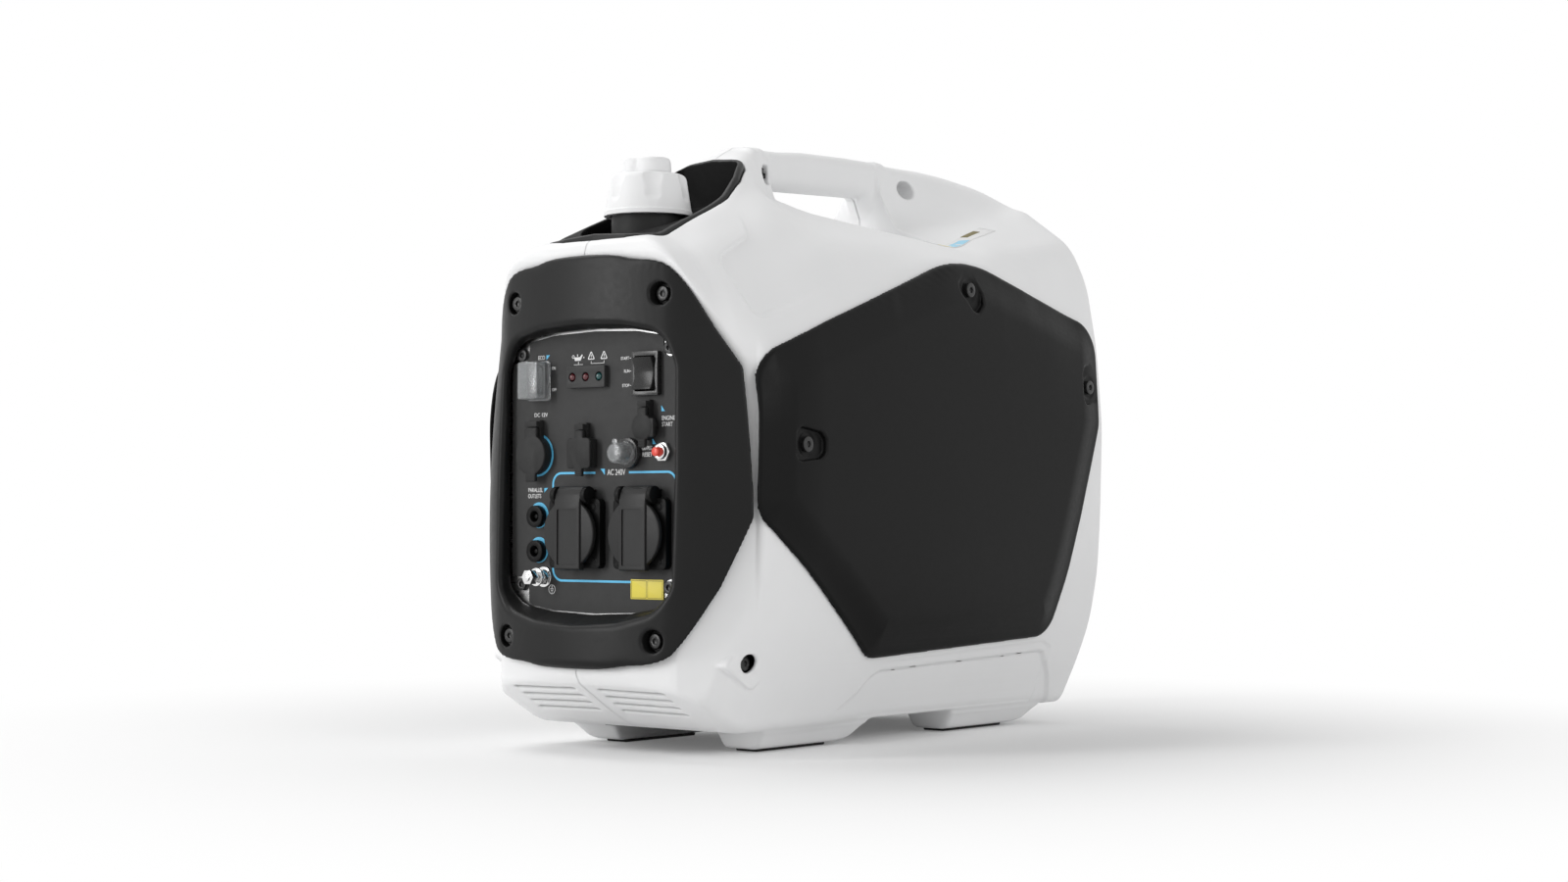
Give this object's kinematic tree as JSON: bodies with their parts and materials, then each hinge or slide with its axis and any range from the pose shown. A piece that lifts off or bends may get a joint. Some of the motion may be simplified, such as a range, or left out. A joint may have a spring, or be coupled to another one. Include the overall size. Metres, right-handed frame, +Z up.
{
  "type": "portable inverter generator",
  "caption": "Portable inverter generator in a moulded case with a carry handle, a front control panel with switches and sockets, side service covers and a fuel filler on top.",
  "frame": {"origin": "centre of the bounding box on the floor plane, under the rubber feet", "axes": "+Z up, control panel at -Y, carry handle along Y, right-hand service cover at +X"},
  "size_m": [0.29, 0.498, 0.459],
  "materials": {
    "shell": "satin light grey",
    "black_shell": "satin black",
    "panel_print": "fine charcoal print",
    "plate": "zinc plated",
    "switch_black": "semi gloss black",
    "clear_rubber": "clear silicone",
    "dark_rubber": "matt dark grey",
    "lamp_red": "red lens",
    "red_button": "red",
    "bright_metal": "nickel plated",
    "screw": "blackened",
    "alloy": "cast",
    "forging": "machined",
    "copper": "varnished windings",
    "dull_steel": "heat resistant grey",
    "ceramic": "glazed",
    "yellow": "yellow"
  },
  "bodies": {
    "case": {"housing_right": "shell", "housing_left": "shell", "front_bezel": "black_shell", "control_panel": "plate", "panel_overlay": "panel_print", "side_cover_right": "black_shell", "side_cover_left": "black_shell", "rear_cover": "black_shell", "base_tray": "black_shell", "rubber_feet": "dark_rubber", "fuel_trim": "black_shell", "fuel_tank": "dark_rubber", "eco_switch": "switch_black", "eco_boot": "clear_rubber", "indicator_block": "panel_print", "indicator_lamps": "lamp_red", "engine_switch": "switch_black", "dc_socket": "dark_rubber", "usb_port": "dark_rubber", "start_port": "dark_rubber", "breaker": "switch_black", "breaker_boot": "clear_rubber", "reset_bush": "bright_metal", "ac_sockets": "switch_black", "hinge_pins": "bright_metal", "parallel_outlets": "switch_black", "ground_terminal": "bright_metal", "panel_screws": "screw", "bezel_screws": "screw", "side_cover_screws": "screw", "housing_screws": "screw", "engine_mounts": "dark_rubber", "crankcase": "alloy", "cylinder": "alloy", "rocker_cover": "alloy", "piston": "alloy", "stator": "copper", "fan_shroud": "black_shell", "carburettor": "alloy", "air_filter": "black_shell", "muffler": "dull_steel", "spark_plug": "ceramic", "inverter": "alloy"},
    "fuel_cap": {"fuel_cap": "shell"},
    "vent_knob": {"vent_knob": "shell"},
    "engine_rocker": {"engine_rocker": "switch_black"},
    "eco_rocker": {"eco_rocker": "switch_black"},
    "breaker_button": {"breaker_button": "dark_rubber"},
    "reset_button": {"reset_button": "red_button"},
    "ac_cover_left": {"ac_cover_left": "dark_rubber"},
    "ac_cover_right": {"ac_cover_right": "dark_rubber"},
    "dc_cap": {"dc_cap": "dark_rubber"},
    "usb_cap": {"usb_cap": "dark_rubber"},
    "start_cap": {"start_cap": "dark_rubber"},
    "crank": {"crankshaft": "forging", "rotor": "forging", "cooling_fan": "black_shell"},
    "recoil_pulley": {"recoil_pulley": "dark_rubber"},
    "recoil_grip": {"recoil_grip": "black_shell"},
    "oil_dipstick": {"oil_dipstick": "yellow"}
  },
  "joints": [
    {"name": "fuel_cap_turn", "type": "hinge", "parent": "case", "child": "fuel_cap", "pos_m": [0, -0.165, 0.391], "axis": [0, 0, 1], "range_deg": [0, 120]},
    {"name": "vent_turn", "type": "hinge", "parent": "fuel_cap", "child": "vent_knob", "pos_m": [0, -0.165, 0.422], "axis": [0, 0, 1], "range_deg": [0, 150]},
    {"name": "engine_switch_rock", "type": "hinge", "parent": "case", "child": "engine_rocker", "pos_m": [0.051, -0.2225, 0.2715], "axis": [1, 0, 0], "range_deg": [-12, 12]},
    {"name": "eco_switch_rock", "type": "hinge", "parent": "case", "child": "eco_rocker", "pos_m": [-0.055, -0.2225, 0.2695], "axis": [1, 0, 0], "range_deg": [-10, 10]},
    {"name": "breaker_push", "type": "slide", "parent": "case", "child": "breaker_button", "axis": [0, 1, 0], "range_m": [0, 0.0025], "stiffness_N_per_m": 600, "springref_m": -0.001},
    {"name": "reset_push", "type": "slide", "parent": "case", "child": "reset_button", "axis": [0, 1, 0], "range_m": [0, 0.0025], "stiffness_N_per_m": 600, "springref_m": -0.001},
    {"name": "left_cover_swing", "type": "hinge", "parent": "case", "child": "ac_cover_left", "pos_m": [-0.0147, -0.2295, 0.1859], "axis": [-1, 0, 0], "range_deg": [0, 110], "stiffness_Nm_per_rad": 0.03, "springref_deg": -17.19},
    {"name": "right_cover_swing", "type": "hinge", "parent": "case", "child": "ac_cover_right", "pos_m": [0.0483, -0.2295, 0.1859], "axis": [-1, 0, 0], "range_deg": [0, 110], "stiffness_Nm_per_rad": 0.03, "springref_deg": -17.19},
    {"name": "dc_cap_swing", "type": "hinge", "parent": "case", "child": "dc_cap", "pos_m": [-0.057, -0.2284, 0.234], "axis": [-1, 0, 0], "range_deg": [0, 100], "stiffness_Nm_per_rad": 0.005, "springref_deg": -11.46},
    {"name": "usb_cap_swing", "type": "hinge", "parent": "case", "child": "usb_cap", "pos_m": [-0.009, -0.2284, 0.231], "axis": [-1, 0, 0], "range_deg": [0, 100], "stiffness_Nm_per_rad": 0.005, "springref_deg": -11.46},
    {"name": "start_cap_swing", "type": "hinge", "parent": "case", "child": "start_cap", "pos_m": [0.052, -0.2284, 0.246], "axis": [-1, 0, 0], "range_deg": [0, 100], "stiffness_Nm_per_rad": 0.003, "springref_deg": -11.46},
    {"name": "crank_turn", "type": "hinge", "parent": "case", "child": "crank", "pos_m": [0, 0, 0.115], "axis": [0, 1, 0], "continuous": true},
    {"name": "starter_pull", "type": "slide", "parent": "case", "child": "recoil_grip", "axis": [-1, 0, 0], "range_m": [0, 0.5], "stiffness_N_per_m": 20, "springref_m": -0.1},
    {"name": "pulley_turn", "type": "hinge", "parent": "case", "child": "recoil_pulley", "pos_m": [0, -0.125, 0.115], "axis": [0, -1, 0], "range_deg": [0, 960]},
    {"name": "dipstick_turn", "type": "hinge", "parent": "case", "child": "oil_dipstick", "pos_m": [0.052, 0.007, 0.087], "axis": [0.8192, 0, 0.5736], "range_deg": [0, 360]}
  ],
  "couplings": [
    {"joint": "pulley_turn", "follows": "starter_pull", "rad_per_m": 33.333}
  ]
}
